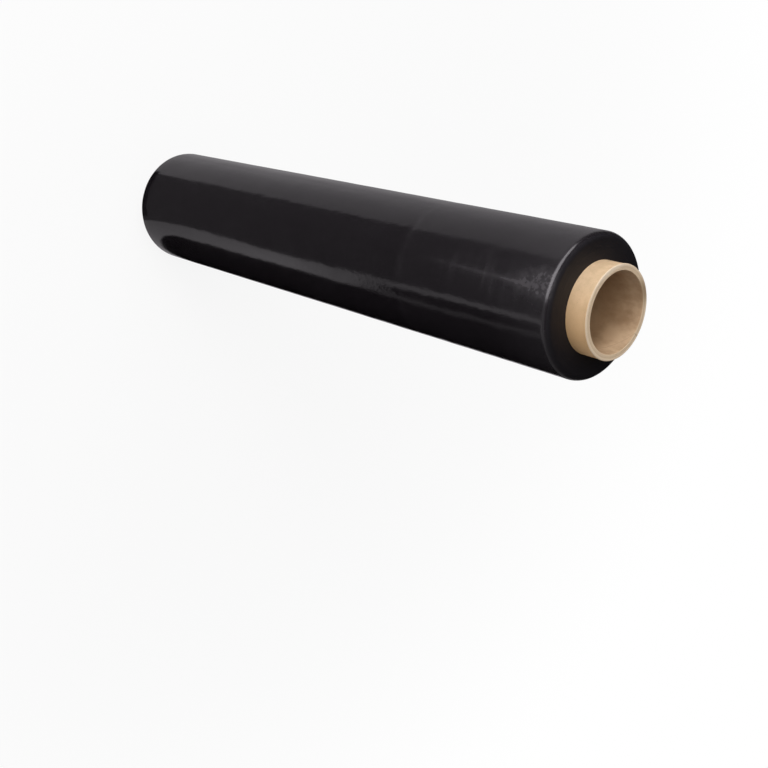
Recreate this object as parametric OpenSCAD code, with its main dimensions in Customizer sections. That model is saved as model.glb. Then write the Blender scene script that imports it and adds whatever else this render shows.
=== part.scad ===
// A hand roll of black stretch film on a paperboard core.
// The roll stands on the lower end of its core: the origin is the centre of that end and +Z runs along the axis.
// The side with the tail of the film faces -Y.

/* [Core] */
// Inside diameter of the core
core_id = 50.8; // [40:0.1:80]
// Thickness of the core's wall
core_wall = 3.8; // [2.5:0.1:6]
// How far the core stands out of the film at each end
core_proud = 15; // [8:0.5:60]
// How far the cut end of the core flares outwards
lip_flare = 0.3; // [0.1:0.05:0.6]
// Length of the flare along the core
lip_len = 2.2; // [1.5:0.1:4]
// How far the worn outer edge of the cut end is rounded off
lip_edge = 0.8; // [0.4:0.1:1.1]
// Chamfer of the inner edge of the cut end
bore_chamfer = 0.4; // [0.2:0.1:0.8]

/* [Film] */
// Width of the film, which is the length of the black body
film_w = 457; // [250:1:600]
// Thickness of all the turns of film on the core
wound_t = 17.1; // [10:0.1:40]
// Radius of the rounded shoulder where the turns end
shoulder_r = 4.5; // [2:0.1:6]

/* [Turns] */
// Distance from one turn's ring to the next on the two ends
turn_pitch = 1.6; // [0.9:0.1:3]
// How far each turn's ring stands out of the end
turn_h = 0.12; // [0.06:0.01:0.25]
// Step that the free edge of the film makes on the body
tail_step = 0.15; // [0.1:0.01:0.3]
// Direction of the free edge on the upper stretch of the body, in degrees from +X
tail_angle = -97; // [-180:1:180]
// How far round the body the free edge of the lower stretch lies from it, in degrees
tail_shift = 157; // [110:1:160]
// Length of the upper stretch, from the upper end of the film down to the tear in its last turn
tear_len = 127; // [20:1:200]

/* [Hidden] */
$fn = 96;

core_r = core_id / 2 + core_wall;
film_r = core_r + wound_t;
core_len = film_w + 2 * core_proud;
film_z0 = core_proud;
film_z1 = core_proud + film_w;
tear_z = film_z1 - tear_len;
// The feet of the rings lie this far under the flat end, so that only their crests show
turn_root = turn_h / 2;
// The spiral on the ends starts this far round from the free edge
turn_start = 50;
// Bare band that is left on the end beside the core and beside the shoulder
turn_margin = turn_pitch / 2;
turn_count = floor((wound_t - shoulder_r - 2 * turn_margin) / turn_pitch);
// Depth of the solid ring that carries the rings of one end
comb_depth = shoulder_r / 2;

// Half of a solid of revolution, on the +Y side
module half_turn() {
    rotate_extrude(angle = 180) children();
}

// Turns one profile into a spiral: the second half turns about a shifted axis, so its profile steps in
// by half the step, and the whole drops by one step where the two halves meet on the -X side
module spiral(step) {
    half_turn() children(0);
    translate([step / 2, 0, 0]) rotate([0, 0, 180]) half_turn() translate([-step / 2, 0]) children(0);
}

// Section through the turns between two heights, with a rounded shoulder at the top where asked
module film_section(z0, z1, low_shoulder, high_shoulder) {
    z_low = z0 + (low_shoulder ? shoulder_r : 0);
    z_high = z1 - (high_shoulder ? shoulder_r : 0);
    inner = core_r - core_wall / 2;
    translate([inner, z_low]) square([film_r - inner, z_high - z_low]);
    translate([inner, z0]) square([film_r - shoulder_r - inner, z1 - z0]);
    if (low_shoulder) translate([film_r - shoulder_r, z_low]) circle(r = shoulder_r);
    if (high_shoulder) translate([film_r - shoulder_r, z_high]) circle(r = shoulder_r);
}

// Section through the crests that the turns make on an end, whose flat lies at height 0
module turn_section() {
    r0 = core_r + turn_margin;
    crests = [for (i = [0 : turn_count - 1]) each [
        [r0 + i * turn_pitch, -turn_root],
        [r0 + (i + 0.5) * turn_pitch, turn_h]
    ]];
    r1 = r0 + turn_count * turn_pitch;
    polygon(concat([[r0, -comb_depth]], crests, [[r1, -turn_root], [r1, -comb_depth]]));
}

// The rings that the spiral of turns makes on an end, whose flat lies at height 0
module end_turns() {
    rotate([0, 0, tail_angle + turn_start]) spiral(turn_pitch) turn_section();
}

// All the turns of film, with the seat for the core bored through. The last turn is torn across: its
// free edge lies elsewhere below the tear, which leaves a fine step round the body at the tear
module stretch_film() {
    color("#1f1d20")
    difference() {
        union() {
            translate([0, 0, film_z0]) rotate([0, 0, tail_angle + 2 * turn_start])
                cylinder(r = film_r - shoulder_r, h = film_w);
            rotate([0, 0, tail_angle + tail_shift + 180]) spiral(tail_step)
                film_section(film_z0, tear_z, true, false);
            rotate([0, 0, tail_angle + 180]) spiral(tail_step)
                film_section(tear_z, film_z1, false, true);
            translate([0, 0, film_z1]) end_turns();
            translate([0, 0, film_z0]) mirror([0, 0, 1]) end_turns();
        }
        translate([0, 0, film_z0 - shoulder_r]) rotate([0, 0, tail_angle + 3 * turn_start])
            cylinder(r = core_r, h = film_w + 2 * shoulder_r);
    }
}

// Section through the wall of the core from the middle of its length, at height 0, to both cut ends
module core_section() {
    ri = core_id / 2;
    h = core_len / 2;
    lip_r = core_r + lip_flare;
    edge_mid = lip_edge * (1 - cos(45));
    upper = [
        [ri, h - bore_chamfer],
        [ri + bore_chamfer, h],
        [lip_r - lip_edge, h],
        [lip_r - edge_mid, h - edge_mid],
        [lip_r, h - lip_edge],
        [core_r, h - lip_len]
    ];
    lower = [for (i = [len(upper) - 1 : -1 : 0]) [upper[i][0], -upper[i][1]]];
    polygon(concat(upper, lower));
}

// The paperboard tube that the film is wound on
module cardboard_core() {
    color("#d3b488")
    translate([0, 0, core_len / 2]) rotate_extrude() core_section();
}

stretch_film();
cardboard_core();
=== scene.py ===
# %% [markdown]
# # A hand roll of black stretch film
# The roll is two things: a body of glossy black film, wound turn on turn, and the paperboard tube
# that it is wound on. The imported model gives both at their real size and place. The cells below
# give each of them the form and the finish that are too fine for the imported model, and light them.

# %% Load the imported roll
import math

import bpy
from mathutils import Matrix, Vector


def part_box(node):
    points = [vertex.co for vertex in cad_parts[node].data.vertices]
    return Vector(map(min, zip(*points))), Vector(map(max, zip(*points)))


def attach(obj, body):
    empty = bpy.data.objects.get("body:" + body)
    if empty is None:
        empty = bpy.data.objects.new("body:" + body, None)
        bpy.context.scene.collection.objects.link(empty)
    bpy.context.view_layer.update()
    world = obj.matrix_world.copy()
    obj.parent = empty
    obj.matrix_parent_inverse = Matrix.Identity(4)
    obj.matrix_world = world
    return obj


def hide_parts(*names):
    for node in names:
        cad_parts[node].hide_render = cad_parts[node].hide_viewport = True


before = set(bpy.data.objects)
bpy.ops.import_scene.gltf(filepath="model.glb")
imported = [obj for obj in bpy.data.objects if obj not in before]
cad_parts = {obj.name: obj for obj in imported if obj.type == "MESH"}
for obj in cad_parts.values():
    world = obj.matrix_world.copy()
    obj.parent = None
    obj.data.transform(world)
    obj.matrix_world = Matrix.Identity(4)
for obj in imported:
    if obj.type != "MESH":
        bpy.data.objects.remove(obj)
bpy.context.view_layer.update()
BODY = "root"

# %% [markdown]
# ## Sizes
# Nothing here is measured twice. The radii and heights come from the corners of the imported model,
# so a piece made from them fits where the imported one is. Blender works in metres, so a millimetre
# is named.

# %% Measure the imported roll
MM = 0.001


def reach(node_name):
    """Least and greatest distance of a node's corners from the roll's axis."""
    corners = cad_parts[node_name].data.vertices
    distances = [math.hypot(corner.co.x, corner.co.y) for corner in corners]
    return min(distances), max(distances)


core_r, film_r = reach("stretch_film")
bore_r, lip_r = reach("cardboard_core")
film_low, film_high = (corner.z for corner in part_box("stretch_film"))
core_low, core_high = (corner.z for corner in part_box("cardboard_core"))
print(f"film radius {film_r / MM:.1f} mm, from {film_low / MM:.1f} to {film_high / MM:.1f} mm up")
print(f"core from {bore_r / MM:.1f} to {core_r / MM:.1f} mm, lip {lip_r / MM:.1f} mm")
print(f"core from {core_low / MM:.1f} to {core_high / MM:.1f} mm up")

# %% [markdown]
# ## Camera
# The camera comes first, because everything after it is seen through it. The photograph shows
# the roll on its side with one end turned to the camera. Here the roll stands on its lower end, so
# the camera looks down at the upper end and is then rolled about its own line of sight, until the
# roll lies in the picture as it does in the photograph. A camera object looks along its own -Z, so
# a track quaternion aims it, and a turn about local Z rolls it.

# %% Camera
LENS_MM = 50.9
SENSOR_MM = 36.0
CAMERA_AT = (0.0, -0.5432, 0.8554)
AIM_AT = (0.0886, 0.0, 0.3126)
CAMERA_ROLL = math.radians(110.5)
PICTURE_PX = 768


def aimed(place, target):
    """The matrix of a camera or lamp that stands at a place and points at a target."""
    turned = (Vector(target) - Vector(place)).to_track_quat("-Z", "Y")
    return Matrix.Translation(place) @ turned.to_matrix().to_4x4()


def pixel_of(point):
    """Where a point lands in the square picture, in pixels from its upper left corner."""
    seen = camera.matrix_world.inverted() @ Vector(point)
    scale = LENS_MM / SENSOR_MM * PICTURE_PX / -seen.z
    return PICTURE_PX / 2 + seen.x * scale, PICTURE_PX / 2 - seen.y * scale


camera_data = bpy.data.cameras.new("camera")
camera_data.lens = LENS_MM
camera_data.sensor_width = SENSOR_MM
camera = bpy.data.objects.new("camera", camera_data)
bpy.context.scene.collection.objects.link(camera)
camera.matrix_world = aimed(CAMERA_AT, AIM_AT) @ Matrix.Rotation(CAMERA_ROLL, 4, "Z")
bpy.context.scene.camera = camera
for label, height in (("lower", core_low), ("upper", core_high)):
    across_px, down_px = pixel_of((0, 0, height))
    print(f"centre of the {label} end lands at pixel {across_px:.0f}, {down_px:.0f}")

# %% [markdown]
# ## Arithmetic in node trees
# A node tree works out a number at every point of a surface. Written node by node, even a short
# formula takes a page. A small class that stands for such a number lets a formula be written as
# one, and each sign in it adds a Math node. The same class serves geometry trees and shader trees,
# because both use the same Math node.

# %% Feed sockets and add nodes


def feed(tree, socket, value):
    """Links a node's output to this input, or sets the input's own number."""
    if isinstance(value, Field):
        value = value.socket
    if isinstance(value, bpy.types.NodeSocket):
        tree.links.new(value, socket)
    else:
        socket.default_value = value


def add_node(tree, kind, feeds=None, **options):
    """Adds a node, sets its options and feeds the inputs that are named."""
    node = tree.nodes.new(kind)
    for option, value in options.items():
        setattr(node, option, value)
    for name, value in (feeds or {}).items():
        feed(tree, node.inputs[name], value)
    return node


# %% A number that varies over a surface


class Field:
    """Arithmetic on fields adds Math nodes to their tree."""

    def __init__(self, tree, socket):
        self.tree = tree
        self.socket = socket

    def math(self, operation, *others):
        """One Math node, with this number as its first input."""
        node = add_node(self.tree, "ShaderNodeMath", operation=operation)
        for socket, value in zip(node.inputs, (self, *others)):
            feed(self.tree, socket, value)
        return Field(self.tree, node.outputs[0])

    def __add__(self, other):
        return self.math("ADD", other)

    def __sub__(self, other):
        return self.math("SUBTRACT", other)

    def __rsub__(self, other):
        return self * -1.0 + other

    def __mul__(self, other):
        return self.math("MULTIPLY", other)

    def __truediv__(self, other):
        return self.math("DIVIDE", other)

    def ramp(self, start, end, low=0.0, high=1.0, kind="LINEAR"):
        """Goes from low to high as this number goes from start to end, and stays there."""
        feeds = {"Value": self, "From Min": start, "From Max": end, "To Min": low, "To Max": high}
        node = add_node(self.tree, "ShaderNodeMapRange", feeds, interpolation_type=kind)
        return Field(self.tree, node.outputs["Result"])

    def soft_ramp(self, start, end, low=0.0, high=1.0):
        """A ramp that starts and ends gently."""
        return self.ramp(start, end, low, high, "SMOOTHSTEP")


# %% Vectors in both kinds of tree


def vector(tree, x, y, z):
    """A vector from three numbers or fields."""
    return add_node(tree, "ShaderNodeCombineXYZ", {"X": x, "Y": y, "Z": z}).outputs[0]


def parts(tree, place):
    """The three numbers of a vector, as fields."""
    node = add_node(tree, "ShaderNodeSeparateXYZ", {"Vector": place})
    return [Field(tree, output) for output in node.outputs]


def vector_math(tree, operation, *vectors):
    """A node that works on whole vectors."""
    feeds = dict(enumerate(vectors))
    return add_node(tree, "ShaderNodeVectorMath", feeds, operation=operation)


def from_axis(x, y):
    """Distance from the roll's axis."""
    return (x * x + y * y).math("SQRT")


# %% Noise and zones in both kinds of tree


def noise(tree, place, scale, detail=2.0, roughness=0.5):
    """Soft noise between about 0 and 1. One over the scale is the size of a blob, in metres."""
    feeds = {"Vector": place, "Scale": scale, "Detail": detail, "Roughness": roughness}
    return Field(tree, add_node(tree, "ShaderNodeTexNoise", feeds).outputs["Fac"])


def rings(tree, radius, scale, detail=2.0):
    """Noise that changes with the radius alone, so it lies in rings round the axis."""
    return noise(tree, vector(tree, radius, 0.0, 0.0), scale, detail)


def drawn_out(tree, place, across=1.0, along=1.0):
    """A place on which noise is drawn out across or along the roll, tenfold where given 0.1."""
    return vector_math(tree, "MULTIPLY", place, (across, across, along)).outputs[0]


def zone(centre, extent, fading):
    """An ellipsoid: its centre and reach in millimetres, and the outer share of it that fades."""
    return Vector(centre) * MM, Vector(extent) * MM, fading


def inside(tree, place, ellipsoid):
    """1 in the middle of an ellipsoid, falling to 0 at its surface."""
    centre, extent, fading = ellipsoid
    away = vector_math(tree, "SUBTRACT", place, centre).outputs[0]
    scaled = vector_math(tree, "DIVIDE", away, extent).outputs[0]
    length = vector_math(tree, "LENGTH", scaled).outputs["Value"]
    return Field(tree, length).soft_ramp(1.0 - fading, 1.0, 1.0, 0.0)


# %% [markdown]
# ## A sheet bent into a closed ring
# Both pieces are made the same way. A flat grid is made first: its columns become steps round the
# axis, and its rows become steps along the section. Ramps turn the row number into the lengths of
# the section, one after another, and the grid's points are then set where radius, angle and height
# say. The first and last column meet, and so do the first and last row, so merging them closes the
# solid.

# %% Trees and their inputs
MATERIAL_INPUT = {"Material": "NodeSocketMaterial"}
PLACE_INPUT = {"Place": "NodeSocketVector"}


def new_tree(name, kind, numbers, others):
    """A node group with inputs for these numbers and for others, and what they give, by name."""
    tree = bpy.data.node_groups.new(name, kind)
    socket_types = {**dict.fromkeys(numbers, "NodeSocketFloat"), **others}
    for label, socket_type in socket_types.items():
        tree.interface.new_socket(label, in_out="INPUT", socket_type=socket_type)
    sockets = tree.nodes.new("NodeGroupInput").outputs
    given = {label: Field(tree, sockets[label]) for label in numbers}
    given.update({label: sockets[label] for label in others})
    return tree, given


# %% A grid, and the helpers that bend it round the axis


def unit_grid(tree, columns, rows):
    """A grid, with the share of the way round and the row number at each point."""
    counts = {"Size X": 1.0, "Size Y": 1.0, "Vertices X": columns + 1, "Vertices Y": rows + 1}
    grid = add_node(tree, "GeometryNodeMeshGrid", counts)
    across, along, _ = parts(tree, tree.nodes.new("GeometryNodeInputPosition").outputs[0])
    return grid.outputs["Mesh"], across + 0.5, (along + 0.5) * float(rows)


def ramps(row, counts):
    """One ramp from 0 to 1 for each stretch of rows, in order along the section."""
    made = []
    start = 0
    for count in counts:
        made.append(row.ramp(float(start), float(start + count)))
        start += count
    return made


def sine(share):
    """The sine of this share of a quarter turn."""
    return (share * (math.pi / 2)).math("SINE")


def cosine(share):
    """The cosine of this share of a quarter turn."""
    return (share * (math.pi / 2)).math("COSINE")


def around(tree, radius, angle, height):
    """The place at a distance from the axis, an angle round it and a height."""
    return vector(tree, radius * angle.math("COSINE"), radius * angle.math("SINE"), height)


# %% Close, smooth and finish a bent grid
WELD = 0.004 * MM        # points nearer to each other than this become one


def close_ring(tree, mesh, place, material, stored=None):
    """Sets the points, welds the seams, smooths the shading and sets the material."""
    tree.interface.new_socket("Geometry", in_out="OUTPUT", socket_type="NodeSocketGeometry")
    for label, value in (stored or {}).items():
        feeds = {"Geometry": mesh, "Name": label, "Value": value}
        mesh = add_node(tree, "GeometryNodeStoreNamedAttribute", feeds).outputs[0]
    for kind, feeds in (
        ("GeometryNodeSetPosition", {"Position": place}),
        ("GeometryNodeMergeByDistance", {"Distance": WELD}),
        ("GeometryNodeSetShadeSmooth", {"Shade Smooth": True}),
        ("GeometryNodeRealizeInstances", {}),
        ("GeometryNodeSetMaterial", {"Material": material}),
    ):
        mesh = add_node(tree, kind, {"Geometry": mesh, **feeds}).outputs[0]
    tree.links.new(mesh, tree.nodes.new("NodeGroupOutput").inputs[0])


# %% Run a tree once and keep its mesh


def grow(name, tree, values):
    """Runs a tree on an empty carrier and keeps the result as a plain mesh object."""
    carrier = bpy.data.objects.new(name + "_carrier", bpy.data.meshes.new(name + "_carrier"))
    bpy.context.scene.collection.objects.link(carrier)
    modifier = carrier.modifiers.new("tree", "NODES")
    modifier.node_group = tree
    for item in tree.interface.items_tree:
        if item.in_out == "INPUT":
            modifier[item.identifier] = values[item.name]
    bpy.context.view_layer.update()
    graph = bpy.context.evaluated_depsgraph_get()
    mesh = bpy.data.meshes.new_from_object(carrier.evaluated_get(graph), depsgraph=graph)
    bpy.data.objects.remove(carrier)
    mesh.name = name
    piece = bpy.data.objects.new(name, mesh)
    bpy.context.scene.collection.objects.link(piece)
    mesh.calc_loop_triangles()
    print(f"{name}: {len(mesh.vertices)} points, {len(mesh.loop_triangles)} triangles")
    return piece


# %% [markdown]
# ## The wound film
# On the real roll, several hundred metres of film 0.02 mm thick are wound tight. The outermost
# turn has a free edge, which stands as a fine step along the body. Here that turn is torn across
# near the upper end, so the step lies at one angle above the tear and at another below it, and the
# tear itself is a fine line round the body. A revolved profile can't have such steps, and a real
# spiral of turns would be far too heavy, so the radius is worked out from angle and height by a
# rule.

# %% Where the free edge lies, and where the film is loose
TAIL_ANGLE = math.radians(-97)
TAIL_SHIFT = math.radians(157)
TEAR_Z = film_high - 127 * MM
EDGE_SLANT = 0.45        # radians round the axis for each metre up
PATCH = zone((-6, -46, 465), (14, 10, 30), 0.8)
CREASED = zone((20, -42, 319), (17, 14, 38), 0.8)
SLACK = zone((-4, -46, 420), (22, 16, 62), 0.9)
print(f"the last turn is torn {TEAR_Z / MM:.1f} mm up")

# %% Rows, columns and sizes of the film
FILM_COLUMNS = 380
FILM_ROWS = {
    "lower face": 30,
    "lower shoulder": 7,
    "below the tear": 72,
    "tear": 2,
    "above the tear": 98,
    "upper shoulder": 10,
    "upper face": 40,
    "seat": 1,
}
CREST = 0.12 * MM        # room above each end face for its rings
FILM_SIZES = {
    "Outer radius": film_r - 0.03 * MM,
    "Core radius": core_r + 0.02 * MM,
    "Shoulder": 4.5 * MM,
    "Bottom": film_low + CREST,
    "Top": film_high - CREST,
    "Tear height": TEAR_Z,
    "Tear width": 0.7 * MM,
    "Edge step": 0.07 * MM,
    "Edge angle": TAIL_ANGLE,
    "Lower edge angle": TAIL_ANGLE + TAIL_SHIFT,
    "Unevenness": 0.36 * MM,
    "Tension ridges": 0.06 * MM,
    "Crinkles": 0.06 * MM,
    "Ring height": 0.16 * MM,
}
print("film grid:", FILM_COLUMNS, "by", sum(FILM_ROWS.values()))

# %% The film's section, by a rule
CROWDING_TO_TEAR = 0.6   # rows crowd together towards the tear, where relief is finest
RINGS_START = 0.05       # share of an end face over which its rings begin


def film_section(row, size):
    """Radius, height, and how far a point belongs to the body, the tear and each end."""
    stretches = ramps(row, FILM_ROWS.values())
    low_face, low_round, below, tear, above, high_round, high_face, seat = stretches
    face_w = size["Outer radius"] - size["Shoulder"] - size["Core radius"]
    bulge = sine(low_round) + cosine(high_round) - 1.0
    radius = size["Core radius"] + face_w * (low_face - high_face) + size["Shoulder"] * bulge
    below = below * (1.0 + CROWDING_TO_TEAR - below * CROWDING_TO_TEAR)
    below_len = size["Tear height"] - size["Bottom"] - size["Shoulder"]
    above_len = size["Top"] - size["Shoulder"] - size["Tear height"] - size["Tear width"]
    lift = sine(high_round) - cosine(low_round) + 1.0
    height = size["Bottom"] + size["Shoulder"] * lift + below * below_len
    height = height + tear * size["Tear width"] + above * above_len
    height = height - seat * (size["Top"] - size["Bottom"])
    body = low_round - high_round
    end = high_face.ramp(0.0, RINGS_START) - (1.0 - low_face).ramp(0.0, RINGS_START)
    return radius, height, body, tear, end


# %% Relief of the film: the step at a free edge, waves, ridges and crinkles


def winding(angle, edge, step):
    """How far the spiral lies under its outermost radius, dropping by one step at the edge."""
    turn = (angle - edge) / math.tau
    return (turn.math("FRACT") - 1.0) * step


def film_relief(tree, place, size):
    """Hollows and ridges of the outermost turns, all below the radius of a tight roll."""
    waves = noise(tree, drawn_out(tree, place, along=0.8), 60.0) - 0.8
    ridges = noise(tree, drawn_out(tree, place, across=0.16), 260.0, detail=1.0) - 1.0
    crinkles = noise(tree, drawn_out(tree, place, along=0.7), 420.0, detail=1.0) - 1.0
    loose = inside(tree, place, SLACK) * 0.8 + 0.2
    relief = waves * size["Unevenness"] + ridges * loose * size["Tension ridges"]
    return relief + crinkles * inside(tree, place, PATCH) * size["Crinkles"]


def end_relief(tree, place, radius):
    """Rings of turns on the ends, which also wave because the turns don't lie at one height."""
    return rings(tree, radius, 620.0, detail=1.0) + noise(tree, place, 55.0, detail=1.0) - 1.0


# %% Tree of the wound film


def film_tree():
    """Bends a grid into the wound film."""
    tree, size = new_tree("Wound film", "GeometryNodeTree", FILM_SIZES, MATERIAL_INPUT)
    mesh, share, row = unit_grid(tree, FILM_COLUMNS, sum(FILM_ROWS.values()))
    angle = share * math.tau
    radius, height, body, tear, end = film_section(row, size)
    tight = around(tree, radius, angle, height)
    slanted = size["Edge angle"] + (height - size["Tear height"]) * EDGE_SLANT
    upper = winding(angle, slanted, size["Edge step"])
    lower = winding(angle, size["Lower edge angle"], size["Edge step"])
    relief = tear * upper + (1.0 - tear) * lower + film_relief(tree, tight, size)
    radius = radius + body * relief
    height = height + end * end_relief(tree, tight, radius) * size["Ring height"]
    close_ring(tree, mesh, around(tree, radius, angle, height), size["Material"])
    return tree


# %% [markdown]
# ## Finishes
# Two effects are shared by film and board, so each is a node group of its own with named inputs:
# handling marks, which are soft smears that dull a surface, and specks, which are dust on the film
# and stray fibres in the board. A group puts out only a mask. The shader that uses it stays in the
# material.

# %% Groups: handling marks and specks


def mask_group(name, numbers, rule):
    """A shader node group that turns a place and some numbers into a mask, by a rule."""
    tree, given = new_tree(name, "ShaderNodeTree", numbers, PLACE_INPUT)
    tree.interface.new_socket("Mask", in_out="OUTPUT", socket_type="NodeSocketFloat")
    feed(tree, tree.nodes.new("NodeGroupOutput").inputs["Mask"], rule(tree, given))
    return tree


def soft_smears(tree, given):
    """Soft smears, from two sizes of noise."""
    broad = noise(tree, given["Place"], given["Scale"], detail=3.0, roughness=0.6)
    fine = noise(tree, given["Place"], given["Scale"] * 7.0, roughness=0.6)
    return (broad * 0.7 + fine * 0.3).soft_ramp(0.42, 0.68) * given["Amount"]


def small_dots(tree, given):
    """Small dots far apart: dust on film, fibre ends in board."""
    feeds = {"Vector": given["Place"], "Scale": given["Scale"]}
    cells = add_node(tree, "ShaderNodeTexVoronoi", feeds).outputs
    shade = add_node(tree, "ShaderNodeSeparateColor", {"Color": cells["Color"]})
    rare = Field(tree, shade.outputs["Red"]).ramp(0.55, 0.75)
    return (given["Size"] - Field(tree, cells["Distance"])).ramp(0.0, 0.05) * rare


handling_marks = mask_group("Handling marks", ["Scale", "Amount"], soft_smears)
specks = mask_group("Specks", ["Scale", "Size"], small_dots)
print("shared groups:", handling_marks.name, "and", specks.name)

# %% Small helpers for materials
MIX_COLOURS = (6, 7)     # a Mix node has sockets for every kind of value: these take its colours
MIX_RESULT = 2


def new_material(name):
    """A material with a Principled BSDF, its tree and the place on the piece."""
    material = bpy.data.materials.new(name)
    material.use_nodes = True
    tree = material.node_tree
    place = tree.nodes.new("ShaderNodeTexCoord").outputs["Object"]
    return material, tree, tree.nodes["Principled BSDF"], place


def use_group(tree, group, feeds):
    """The mask that a shared group gives with these values."""
    return Field(tree, add_node(tree, "ShaderNodeGroup", feeds, node_tree=group).outputs["Mask"])


def blend(tree, share, *colours):
    """A colour that goes from the first to the second as the share goes from 0 to 1."""
    feeds = {"Factor": share}
    for socket, colour in zip(MIX_COLOURS, colours):
        feeds[socket] = (*colour, 1.0) if isinstance(colour, tuple) else colour
    node = add_node(tree, "ShaderNodeMix", feeds, data_type="RGBA", clamp_factor=True)
    return node.outputs[MIX_RESULT]


def bump(tree, shader, height, depth):
    """Feeds a relief into the shader's normal. The depth is in metres for a height of 1."""
    node = add_node(tree, "ShaderNodeBump", {"Strength": 1.0, "Distance": depth, "Height": height})
    feed(tree, shader.inputs["Normal"], node.outputs["Normal"])


def depth_inside(z, low, high):
    """How deep a height lies inside the nearer of two ends."""
    return (high - low) / 2 - (z - (low + high) / 2).math("ABSOLUTE")


# %% [markdown]
# ## Film finish
# Black polyethylene film is a near-black body with a clear gloss. What tells it from painted metal
# is how that gloss breaks up: it is crisp where the film is tight, hazy where the last turn has
# let go and air lies under it, and drawn out into fine lines round the body by the tension of
# winding. So the roughness and the bump carry most of the finish. The colour turns grey where the
# film is hazy, and in the crinkled patch and along the free edge that grey is partly painted glints
# and a painted highlight line.

# %% Film colours and gloss
FILM_BLACK = (0.0081, 0.0065, 0.0081)
# The haze grey is also used to paint glints and a highlight line on the loose film.
FILM_HAZE_AND_GLINT = (0.085, 0.078, 0.085)
FILM_ENDS = (0.0086, 0.0074, 0.0098)
TIGHT_ROUGHNESS = 0.12
HAZE_ROUGHNESS = 0.3
END_ROUGHNESS = 0.48
SLACK_ROUGHNESS = 0.05
SMEAR_ROUGHNESS = 0.03
RELAXED_ROUGHNESS = 0.06
RIM_ROUGHNESS = 0.16
FILM_BUMP = 0.03 * MM

# %% Haze and a painted highlight line along the free edge
STREAK_WIDTH = 1.7 * MM
STREAK_REACH = 5.0 * MM
STREAK_WANDER = 1.8 * MM


def free_edge(tree, x, y, z):
    """A soft broken streak along the free edge of the last turn, partly haze where it has let go and
    partly a painted highlight line.
    """
    edge_x = (z - TEAR_Z) * (EDGE_SLANT * film_r) + film_r * math.cos(TAIL_ANGLE)
    wander = noise(tree, vector(tree, 0.0, 0.0, z), 50.0, detail=1.0) - 0.5
    away = (x - edge_x + wander * STREAK_WANDER).math("ABSOLUTE")
    near_edge = away.ramp(0.0, STREAK_WIDTH, 0.6, 0.0) + away.soft_ramp(0.0, STREAK_REACH, 0.4, 0.0)
    broken = noise(tree, vector(tree, x, 0.0, z * 0.6), 160.0, detail=3.0, roughness=0.6)
    this_side = y.ramp(-30 * MM, -20 * MM, 1.0, 0.0)
    grows = z.ramp(TEAR_Z + 10 * MM, TEAR_Z + 100 * MM)
    fades = z.ramp(film_high - 24 * MM, film_high - 8 * MM, 1.0, 0.3)
    return near_edge * broken.ramp(0.35, 0.65, 0.4, 1.0) * this_side * grows * fades


# %% Haze of the loose film, and painted glints in its crinkled patch
ABOVE_TEAR_HAZE = 0.02
TEAR_HAZE = 0.08
TOP_HAZE = 0.08
SLACK_HAZE = 0.02
RIPPLE_HAZE = 0.12
PATCH_HAZE_AND_GLINTS = 0.06
MOTTLE_HAZE_AND_GLINTS = 0.55
STREAK_HAZE_AND_HIGHLIGHT = 0.36


def loose_film_haze_and_glints(tree, place, slack, patch):
    """How hazy and grey the film is where air lies under the last turn or where it has been handled;
    in the crinkled patch the grey is partly painted glints, and along the free edge partly a painted
    highlight line.
    """
    x, y, z = parts(tree, place)
    above_tear = z.ramp(TEAR_Z - 0.2 * MM, TEAR_Z + 0.6 * MM)
    beside_tear = (z - TEAR_Z).math("ABSOLUTE").soft_ramp(0.0, 5 * MM, 1.0, 0.0)
    near_top = z.ramp(film_high - 45 * MM, film_high - 8 * MM)
    patchy = noise(tree, place, 90.0).ramp(0.4, 0.65)
    ripple = noise(tree, drawn_out(tree, place, across=0.2), 150.0).ramp(0.45, 0.7)
    mottle = noise(tree, place, 330.0, detail=3.0, roughness=0.6).ramp(0.34, 0.72)
    haze_and_glints = above_tear * ABOVE_TEAR_HAZE + beside_tear * patchy * TEAR_HAZE + near_top * TOP_HAZE
    haze_and_glints = haze_and_glints + slack * (ripple * RIPPLE_HAZE + SLACK_HAZE)
    # In the crinkled patch this grey is partly painted glints, standing for light caught by the
    # wrinkles.
    haze_and_glints = haze_and_glints + patch * (mottle * MOTTLE_HAZE_AND_GLINTS + PATCH_HAZE_AND_GLINTS)
    # Along the free edge the grey streak is partly a painted highlight line.
    haze_and_glints = haze_and_glints + free_edge(tree, x, y, z) * STREAK_HAZE_AND_HIGHLIGHT
    return haze_and_glints.math("MINIMUM", 1.0)


# %% Relief too fine for the film's mesh
LINE_RELIEF = 0.08
LOOSE_LINE_RELIEF = 0.5
DRAWN_RELIEF = 0.15
GRAIN_RELIEF = 3.8
CRINKLE_RELIEF = 1.6
CREASE_RELIEF = 8.0
TURN_RELIEF = 1.2


def film_grain(tree, place, slack, patch, at_end):
    """Tension lines, grain and creases on the body, and one turn on another at the ends."""
    x, y, _ = parts(tree, place)
    lines = noise(tree, drawn_out(tree, place, across=0.1), 900.0)
    drawn = noise(tree, drawn_out(tree, place, along=0.06), 300.0)
    grain = noise(tree, place, 150.0, detail=3.0, roughness=0.7)
    crinkles = noise(tree, place, 620.0, detail=3.0, roughness=0.65)
    creases = noise(tree, place, 330.0, detail=3.0, roughness=0.6)
    turns = rings(tree, from_axis(x, y), 2600.0)
    body = lines * (slack * LOOSE_LINE_RELIEF + LINE_RELIEF)
    body = body + drawn * DRAWN_RELIEF + grain * GRAIN_RELIEF + crinkles * patch * CRINKLE_RELIEF
    body = body + creases * inside(tree, place, CREASED) * CREASE_RELIEF
    return body * (1.0 - at_end) + turns * at_end * TURN_RELIEF


# %% Film material


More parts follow.
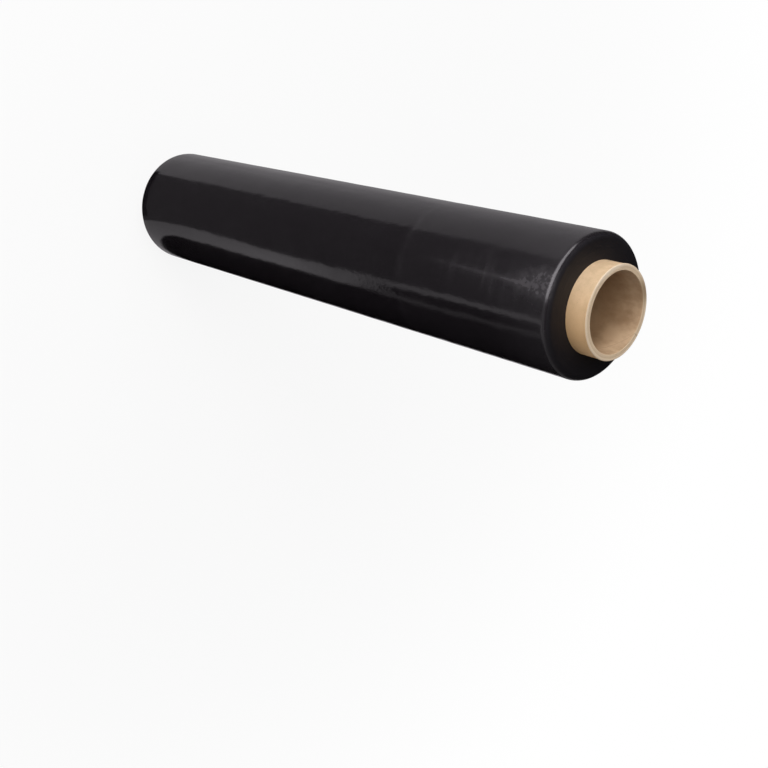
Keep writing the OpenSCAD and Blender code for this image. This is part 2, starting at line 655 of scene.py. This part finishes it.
def film_material():
    """Glossy black film, hazy where it is loose, with painted glints and a painted highlight line in
    that grey haze, and fine lines from its tension.
    """
    material, tree, shader, place = new_material("black_stretch_film")
    x, _, z = parts(tree, place)
    slack = inside(tree, place, SLACK)
    patch = inside(tree, place, PATCH)
    depth = depth_inside(z, film_low, film_high)
    at_end = depth.soft_ramp(0.3 * MM, 2.0 * MM, 1.0, 0.0)
    haze_and_glints = loose_film_haze_and_glints(tree, place, slack, patch) * (1.0 - at_end)
    smears = use_group(tree, handling_marks, {"Place": place, "Scale": 22.0, "Amount": 1.0})
    dust = use_group(tree, specks, {"Place": place, "Scale": 260.0, "Size": 0.09})
    plain = blend(tree, at_end, FILM_BLACK, FILM_ENDS)
    colour = blend(tree, haze_and_glints + dust * 0.1 + smears * 0.02, plain, FILM_HAZE_AND_GLINT)
    rubbed_rim = depth.ramp(3.0 * MM, 5.5 * MM, 1.0, 0.0) * x.ramp(2 * MM, 26 * MM)
    relaxed = z.ramp(TEAR_Z, film_high - 90 * MM) * x.ramp(-26 * MM, -8 * MM, 1.0, 0.0)
    roughness = haze_and_glints * HAZE_ROUGHNESS + slack * SLACK_ROUGHNESS + smears * SMEAR_ROUGHNESS
    roughness = roughness + relaxed * RELAXED_ROUGHNESS + rubbed_rim * RIM_ROUGHNESS
    roughness = roughness + at_end * (END_ROUGHNESS - rubbed_rim * RIM_ROUGHNESS)
    feed(tree, shader.inputs["Base Color"], colour)
    feed(tree, shader.inputs["Roughness"], roughness + TIGHT_ROUGHNESS)
    bump(tree, shader, film_grain(tree, place, slack, patch, at_end), FILM_BUMP)
    return material


# %% Make the wound film
film_finish = film_material()
print("film finish:", len(film_finish.node_tree.nodes), "nodes")
film = grow("film_body", film_tree(), {**FILM_SIZES, "Material": film_finish})

# %% [markdown]
# ## The paperboard core
# A core like this is wound from strips of board, each glued over the last at a slant, so a fine
# gap between the strips runs round it as a helix, inside and out. The cut ends flare a little and
# are worn round at the outer edge. Round the axis, the grid's columns are turned with the helix,
# so a gap is simply a few columns that lie deeper, and the columns crowd together there to keep it
# sharp.

# %% Rows, columns and sizes of the core
CORE_COLUMNS = 208
CORE_ROWS = {
    "outer wall": 150,
    "upper flare": 4,
    "upper edge": 6,
    "upper cut": 16,
    "upper bore edge": 4,
    "bore": 250,
    "lower bore edge": 4,
    "lower cut": 16,
    "lower edge": 6,
    "lower flare": 4,
}
CORE_SIZES = {
    "Core radius": core_r - 0.01 * MM,
    "Lip radius": lip_r - 0.01 * MM,
    "Bore radius": bore_r + 0.01 * MM,
    "Bottom": core_low,
    "Top": core_high,
    "Flare length": 2.2 * MM,
    "Edge round": 0.8 * MM,
    "Bore round": 0.4 * MM,
    "Helix pitch": 100 * MM,
    "Gap width": 0.7 * MM,
    "Gap depth": 0.15 * MM,
    "Gap angle": math.radians(115),
}
print("core grid:", CORE_COLUMNS, "by", sum(CORE_ROWS.values()))

# %% The core's section, by a rule


def core_section(row, size):
    """Radius, height, and how far a point belongs to a cut end and to the bore."""
    stretches = ramps(row, CORE_ROWS.values())
    wall, flare, edge, cut, chamfer, bore, chamfer2, cut2, edge2, flare2 = stretches
    edge_round = size["Edge round"]
    bore_round = size["Bore round"]
    cut_w = size["Lip radius"] - edge_round - size["Bore radius"] - bore_round
    lip_out = size["Lip radius"] - size["Core radius"]
    radius = size["Core radius"] + lip_out * (flare - flare2) - cut_w * (cut - cut2)
    radius = radius - edge_round * (1.0 - cosine(edge) - sine(edge2))
    radius = radius - bore_round * (sine(chamfer) + cosine(chamfer2) - 1.0)
    length = size["Top"] - size["Bottom"]
    height = size["Bottom"] + size["Flare length"]
    height = height + wall * (length - size["Flare length"] * 2.0)
    height = height + (size["Flare length"] - edge_round) * (flare + flare2)
    height = height + edge_round * (sine(edge) + 1.0 - cosine(edge2))
    height = height - bore_round * (1.0 - cosine(chamfer) + sine(chamfer2))
    height = height - bore * (length - bore_round * 2.0)
    return radius, height, edge - edge2, chamfer - chamfer2


# %% Tree of the core
CROWDING_TO_GAP = 0.6    # columns crowd together at the gap between the strips


def core_tree():
    """Bends a grid into the paperboard core."""
    tree, size = new_tree("Paperboard core", "GeometryNodeTree", CORE_SIZES, MATERIAL_INPUT)
    mesh, share, row = unit_grid(tree, CORE_COLUMNS, sum(CORE_ROWS.values()))
    radius, height, rounding, bore = core_section(row, size)
    crowded = share - (share * math.tau).math("SINE") * (CROWDING_TO_GAP / math.tau)
    angle = (crowded + height / size["Helix pitch"]) * math.tau + size["Gap angle"]
    from_gap = (0.5 - (crowded - 0.5).math("ABSOLUTE")) * math.tau * size["Core radius"]
    gap = from_gap.soft_ramp(0.0, size["Gap width"], 1.0, 0.0) * size["Gap depth"]
    radius = radius + gap * (bore + rounding - 1.0)
    place = around(tree, radius, angle, height)
    close_ring(tree, mesh, place, size["Material"], {"from_gap": from_gap})
    return tree


# %% [markdown]
# ## Board finish
# Kraft board is matt and never one colour: it is mottled by its pulp, carries short dark and pale
# fibres, is rubbed smooth on the outside and is paler and rougher where the saw has cut it, with
# its plies showing as fine rings. In the bore it is darker and blotchy. Some of the colour is
# painted light: warm shade on the +X side of the outside, shade that darkens the bore away from its
# mouth and a patch of the upper cut end, and a highlight on the worn outer edge of that cut end on
# its lit side. The gap between the strips is known from an attribute that the tree stored on the
# mesh.

# %% Board colours, and the zones on the upper cut end
KRAFT = (0.74, 0.53, 0.335)
KRAFT_DEEP = (0.56, 0.395, 0.235)
KRAFT_PAINTED_WARM_SHADE = (0.7, 0.43, 0.205)
BORE_MOUTH = (0.57, 0.4, 0.255)
BORE_PAINTED_DEEP_SHADE = (0.41, 0.262, 0.147)
BORE_STAIN = (0.28, 0.165, 0.085)
CUT_BOARD = (0.745, 0.58, 0.4)
CUT_LINE = (0.52, 0.385, 0.26)
# The dark cut colour and its zone paint shade on one side of the upper cut end; the strength also
# sets the bore's blotches.
CUT_PAINTED_SHADE = (0.3, 0.21, 0.13)
# The pale worn edge colour also paints a highlight on the lit side of the cut end.
WORN_AND_HIGHLIT_EDGE = (0.765, 0.63, 0.485)
GAP_SHADE = (0.3, 0.2, 0.12)
CUT_PAINTED_SHADE_ZONE = zone((-17, 21, 487), (13, 13, 4), 0.9)
MOST_WORN_AND_LIT = zone((-21, -17, 487), (18, 18, 4), 0.9)
STAIN_AND_SHADE_STRENGTH = 0.85
BOARD_ROUGHNESS = 0.82
BOARD_SPECULAR = 0.3
BOARD_BUMP = 0.05 * MM
FIBRE_RELIEF = 0.6
CUT_FIBRE_RELIEF = 1.5
PLY_RELIEF = 2.0
PULP_RELIEF = 0.5

# %% Colour of the board's walls


def wall_colour(tree, place, mottle, fibres):
    """Mottled kraft outside with a painted warm shade on its +X side, and darker, blotchy board
    inside with painted shade deepening away from the mouth.
    """
    x, y, z = parts(tree, place)
    outside = blend(tree, mottle * 0.8 + fibres * 0.2, KRAFT_DEEP, KRAFT)
    # Painted warm shade: the +X side is made deeper and warmer in tone, standing in for shade and
    # warm bounce light.
    outside = blend(tree, x.ramp(-12 * MM, 20 * MM) * 0.9, outside, KRAFT_PAINTED_WARM_SHADE)
    # Painted shade: the bore darkens from its mouth inwards, as a recess does in shade.
    near_mouth = depth_inside(z, core_low, core_high).ramp(3 * MM, 26 * MM, 1.0, 0.0)
    stain = noise(tree, drawn_out(tree, place, along=0.7), 62.0, detail=4.0, roughness=0.6)
    bore = blend(tree, near_mouth, BORE_PAINTED_DEEP_SHADE, BORE_MOUTH)
    bore = blend(tree, stain.ramp(0.42, 0.7) * STAIN_AND_SHADE_STRENGTH, bore, BORE_STAIN)
    in_bore = from_axis(x, y).ramp(bore_r + 0.1 * MM, bore_r + 0.5 * MM, 1.0, 0.0)
    return blend(tree, in_bore, outside, bore)


# %% Colour of the cut ends


def add_cut_ends(tree, place, colour, at_cut, plies, fibres):
    """The colour where the saw has cut, with plies, a worn outer edge that is partly a painted
    highlight on its lit side, and a patch of painted shade.
    """
    x, y, _ = parts(tree, place)
    cut_board = blend(tree, plies * 0.75 + fibres * 0.25, CUT_LINE, CUT_BOARD)
    colour = blend(tree, at_cut, colour, cut_board)
    # The pale outer edge of the cut is partly wear and partly a painted highlight, strongest on the
    # lit side.
    most_worn_and_lit = inside(tree, place, MOST_WORN_AND_LIT)
    wear_and_highlight_radius = from_axis(x, y) + most_worn_and_lit * 1.3 * MM
    wear_and_highlight = wear_and_highlight_radius.ramp(lip_r - 1.9 * MM, lip_r - 0.8 * MM) * (most_worn_and_lit * 0.4 + 0.5)
    colour = blend(tree, wear_and_highlight * at_cut, colour, WORN_AND_HIGHLIT_EDGE)
    # Painted shade: a dark patch on one side of the upper cut end.
    painted_shade = inside(tree, place, CUT_PAINTED_SHADE_ZONE) * at_cut
    return blend(tree, painted_shade * STAIN_AND_SHADE_STRENGTH, colour, CUT_PAINTED_SHADE)


# %% Board material


def board_material():
    """Kraft paperboard: mottled outside, darker in the bore, paler with plies at the cut ends, with
    painted shade and highlight in places.
    """
    material, tree, shader, place = new_material("kraft_paperboard")
    x, y, z = parts(tree, place)
    radius = from_axis(x, y)
    mottle = noise(tree, place, 130.0, detail=4.0, roughness=0.65).ramp(0.33, 0.67)
    fibres = noise(tree, drawn_out(tree, place, along=3.0), 900.0, detail=3.0, roughness=0.7)
    plies = rings(tree, radius, 2300.0, detail=1.0).ramp(0.4, 0.6)
    dots = use_group(tree, specks, {"Place": place, "Scale": 900.0, "Size": 0.2})
    rubbed = use_group(tree, handling_marks, {"Place": place, "Scale": 30.0, "Amount": 0.12})
    depth = depth_inside(z, core_low, core_high)
    at_cut = depth.soft_ramp(0.15 * MM, 0.75 * MM, 1.0, 0.0)
    at_cut = at_cut * radius.ramp(bore_r + 0.02 * MM, bore_r + 0.15 * MM)
    colour = wall_colour(tree, place, mottle, fibres)
    colour = add_cut_ends(tree, place, colour, at_cut, plies, fibres)
    from_gap = add_node(tree, "ShaderNodeAttribute", attribute_name="from_gap").outputs["Fac"]
    in_gap = Field(tree, from_gap).ramp(0.15 * MM, 0.55 * MM, 0.4, 0.0)
    colour = blend(tree, in_gap + dots * 0.35, colour, GAP_SHADE)
    feed(tree, shader.inputs["Base Color"], colour)
    feed(tree, shader.inputs["Roughness"], BOARD_ROUGHNESS - rubbed + at_cut * 0.1)
    shader.inputs["Specular IOR Level"].default_value = BOARD_SPECULAR
    relief = fibres * (at_cut * CUT_FIBRE_RELIEF + FIBRE_RELIEF)
    relief = relief + plies * at_cut * PLY_RELIEF + mottle * PULP_RELIEF
    bump(tree, shader, relief, BOARD_BUMP)
    return material


# %% Make the core
board_finish = board_material()
print("board finish:", len(board_finish.node_tree.nodes), "nodes")
core = grow("core_tube", core_tree(), {**CORE_SIZES, "Material": board_finish})

# %% [markdown]
# ## Tie the pieces to the imported roll
# Each new piece stands for one node of the imported model and rides on its body; the imported node
# is hidden.

# %% Ride and replace
for piece, node_name, slot_name in (
    (film, "stretch_film", "film"),
    (core, "cardboard_core", "core"),
):
    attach(piece, BODY)
    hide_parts(node_name)
    print(piece.name, "stands for", node_name)

# %% [markdown]
# ## Floor and surroundings
# The floor and the air around it are plain white to the camera, and just as white in a reflection.
# The light path node tells those rays from the ones that carry light, so the white doesn't add
# light to the roll. Near the roll the floor keeps a share of its own shade, which holds the roll's
# shadow, and further out that share fades, so that no line shows where the floor meets the white
# beyond.

# %% White to the eye
FLOOR_HALF = 6.0
FLOOR_COLOUR = (0.9, 0.9, 0.9, 1.0)
WHITE = (1.0, 1.0, 1.0, 1.0)
SHADOW_KEPT = 0.13
SHADOW_NEAR = 0.25
SHADOW_FAR = 1.1
AMBIENT = 0.35


def seen_directly(tree):
    """1 for rays from the camera, in a reflection or through glass, 0 for light on its way."""
    path = tree.nodes.new("ShaderNodeLightPath").outputs
    straight = Field(tree, path["Is Camera Ray"]) + Field(tree, path["Is Glossy Ray"])
    return (straight + Field(tree, path["Is Transmission Ray"])).math("MINIMUM", 1.0)


def stage_material(name):
    """A material with an empty tree, the place on the piece and the surface to feed."""
    material = bpy.data.materials.new(name)
    material.use_nodes = True
    tree = material.node_tree
    tree.nodes.clear()
    place = tree.nodes.new("ShaderNodeTexCoord").outputs["Object"]
    surface = tree.nodes.new("ShaderNodeOutputMaterial").inputs["Surface"]
    return material, tree, place, surface


def floor_material():
    """Pale diffuse floor that is mostly plain white to the eye."""
    material, tree, place, surface = stage_material("pale_floor")
    x, y, _ = parts(tree, place)
    kept = from_axis(x, y).soft_ramp(SHADOW_NEAR, SHADOW_FAR, SHADOW_KEPT, 0.0)
    lit = add_node(tree, "ShaderNodeBsdfDiffuse", {"Color": FLOOR_COLOUR})
    white = add_node(tree, "ShaderNodeEmission", {"Strength": 1.0})
    shares = {0: seen_directly(tree) * (1.0 - kept), 1: lit.outputs[0], 2: white.outputs[0]}
    feed(tree, surface, add_node(tree, "ShaderNodeMixShader", shares).outputs[0])
    return material


# %% Floor and world
CARD_GAP = 1 * MM


def square(half):
    """Corners in plan of a square round the roll."""
    return [(-half, -half), (half, -half), (half, half), (-half, half)]


def on_floor(layer, corners):
    """Corners in plan, in metres, on the floor or on a layer of cards over it."""
    return [(x, y, core_low + layer * CARD_GAP) for x, y in corners]


def flat_piece(name, corners, material):
    """A flat face through these corners, as part of the stage."""
    mesh = bpy.data.meshes.new(name)
    mesh.from_pydata(corners, [], [range(len(corners))])
    mesh.materials.append(material)
    piece = bpy.data.objects.new(name, mesh)
    bpy.context.scene.collection.objects.link(piece)
    return piece


flat_piece("floor", on_floor(0, square(FLOOR_HALF)), floor_material())
world = bpy.data.worlds.new("studio")
world.use_nodes = True
bpy.context.scene.world = world
sky = world.node_tree.nodes["Background"]
sky.inputs["Color"].default_value = WHITE
sky_strength = seen_directly(world.node_tree).ramp(0.0, 1.0, AMBIENT, 1.0)
feed(world.node_tree, sky.inputs["Strength"], sky_strength)
print("floor and world are in place, the floor", 2 * FLOOR_HALF, "m wide")

# %% [markdown]
# ## Cards
# A black glossy thing shows nothing but its surroundings, so a photographer shapes its bands of
# light with cards: where a black card is mirrored the film is black, and where a pale one is
# mirrored beside it the film shines. Here a pale card lies over the floor with darker ones on it,
# black drapes hang around the set, and a bright panel stands to the left of the camera. The panel
# narrows towards its far end, and its image is the thin tapering line on the rounded rim. Only
# reflections see them: the camera, the shadows and the soft light don't.

# %% A card that only reflections see
CARD_TINT = (1.0, 0.955, 1.0, 1.0)
PALEST = 1.07
DULLEST = 0.93


def card(name, brightness, corners):
    """A card, a little uneven. Its brightness is a number or a rule of place."""
    material, tree, place, surface = stage_material(name)
    x, y, _ = parts(tree, place)
    if callable(brightness):
        brightness = brightness(x, from_axis(x, y))
    strength = noise(tree, place, 7.0).ramp(0.3, 0.7, DULLEST, PALEST) * brightness
    glow = add_node(tree, "ShaderNodeEmission", {"Color": CARD_TINT, "Strength": strength})
    feed(tree, surface, glow.outputs[0])
    piece = flat_piece(name, corners, material)
    piece.visible_camera = False
    piece.visible_diffuse = False
    piece.visible_shadow = False


# %% Pale cards on the floor
SET_HALF = 1.5
GROUND_BRIGHTNESS = 0.45


def lay(cards):
    """Lays cards on the floor, each given by its name as its layer, brightness and plan."""
    for name, (layer, brightness, plan) in cards.items():
        card(name, brightness, on_floor(layer, plan))
    print("laid", ", ".join(cards))


def ground_shade(x, distance):
    """On the +X side, brightest 0.2 m from the axis, dimmer by 0.3 m, paler again by 0.5 m."""
    more = distance.ramp(0.07, 0.2, -0.05, 0.25) - distance.ramp(0.22, 0.3, 0.0, 0.19)
    more = more + distance.ramp(0.42, 0.52, 0.0, 0.12)
    return more * x.ramp(0.0, 0.03) + GROUND_BRIGHTNESS


lay({
    "card_ground": (1, ground_shade, square(SET_HALF)),
    "card_back_left": (2, 0.39, [
        (-0.0397, -0.0237), (-1.5, 0.91), (-1.5, 1.5), (0.0, 1.5), (0.0, 0.0),
    ]),
    "card_back": (3, 0.34, [(-0.0445, -0.0128), (-0.99, 1.5), (0.0, 1.5), (0.0, 0.0)]),
    "card_low": (2, 0.18, [
        (0.285, -0.21), (0.325, -0.1), (0.6, -0.15), (0.95, -0.35), (0.62, -0.45),
    ]),
})

# %% Dark cards on the floor
DIM = 0.1
BLACK = 0.0
lay({
    "card_front": (3, DIM, [
        (0.0, -0.03), (-0.66, -0.43), (-0.4, -1.0), (0.3, -1.1), (0.63, -0.86),
        (0.366, -0.52), (0.331, -0.456), (0.314, -0.421), (0.292, -0.391), (0.268, -0.366),
        (0.236, -0.306), (0.209, -0.249), (0.141, -0.16), (0.066, -0.097), (0.017, -0.03),
    ]),
    # The black card at the foot stands in for the roll's contact shadow on the floor, as the film
    # mirrors it: a painted shadow.
    "card_foot_shadow": (4, BLACK, [
        (-0.035, -0.046), (-0.022, -0.0552), (0.0, -0.0592), (0.02, -0.0558),
        (0.027, -0.0515), (0.0, -0.03),
    ]),
    "card_between": (3, BLACK, [
        (0.255, -0.235), (0.52, -0.56), (0.7, -0.4), (0.517, -0.307), (0.489, -0.277),
        (0.424, -0.236), (0.358, -0.208), (0.3, -0.19),
    ]),
    "card_side": (3, BLACK, [
        (0.0545, 0.03), (0.0545, -0.028), (0.058, -0.041), (0.066, -0.05), (0.1, -0.063),
        (0.29, -0.131), (0.352, -0.143), (0.418, -0.16), (0.482, -0.198), (0.57, -0.24),
        (1.4, -0.56), (1.4, 0.9), (0.4, 0.9),
    ]),
})

# %% Drapes, side cards and the bright panel
DRAPE_HALF = 1.6
DRAPE_TOP = 2.4
PANEL_BRIGHTNESS = 4.5
PANEL_CORNERS = [(-1.15, -0.2, 0.36), (0.1, -1.2, 0.1), (0.1, -1.2, 0.95), (-1.15, -0.2, 0.72)]
SIDE_CARDS = {
    "card_right": (0.35, (0.3, -1.35), (1.45, -0.4), 0.75),
    "card_far_right": (0.2, (1.45, -0.4), (1.3, 0.7), 0.7),
}


def upright(first, second, top):
    """Corners of a card that stands on the floor, on the line between two places in plan."""
    return [(*first, core_low), (*second, core_low), (*second, top), (*first, top)]


drape_plan = square(DRAPE_HALF)
for index, corner in enumerate(drape_plan):
    card(f"drape_{index}", BLACK, upright(drape_plan[index - 1], corner, DRAPE_TOP))
card("drape_roof", BLACK, [(*corner, DRAPE_TOP) for corner in drape_plan])
card("panel", PANEL_BRIGHTNESS, PANEL_CORNERS)
for name, (brightness, first, second, top) in SIDE_CARDS.items():
    card(name, brightness, upright(first, second, top))
print("hung", len(drape_plan), "drapes and stood up", ", ".join(SIDE_CARDS))

# %% [markdown]
# ## Lamps
# A wide soft lamp to the left of the camera is the key: it lights the side of the core that is
# uppermost in the picture. A broad soft lamp stands higher, near the camera, and reaches down into
# the bore. Both are weak enough that a colour renders about as it is written, and the cards take
# their place in reflections.

# %% Soft lamps


def soft_lamp(name, place, width, depth, watts):
    """A rectangular lamp aimed at the top of the roll, hidden from camera and reflections."""
    data = bpy.data.lights.new(name, "AREA")
    data.shape = "RECTANGLE"
    data.size = width
    data.size_y = depth
    data.energy = watts
    lamp = bpy.data.objects.new(name, data)
    bpy.context.scene.collection.objects.link(lamp)
    lamp.matrix_world = aimed(place, (0.0, 0.0, core_high))
    lamp.visible_camera = False
    lamp.visible_glossy = False


soft_lamp("key", (-0.96, -0.6, 0.84), width=1.5, depth=0.4, watts=8.1)
soft_lamp("fill", (-0.8, -1.82, 2.22), width=2.0, depth=2.0, watts=36.0)

# %% [markdown]
# ## Finish
# The view transform is the plain one, so a colour comes out as it is lit.

# %% View
bpy.context.scene.view_settings.view_transform = "Standard"
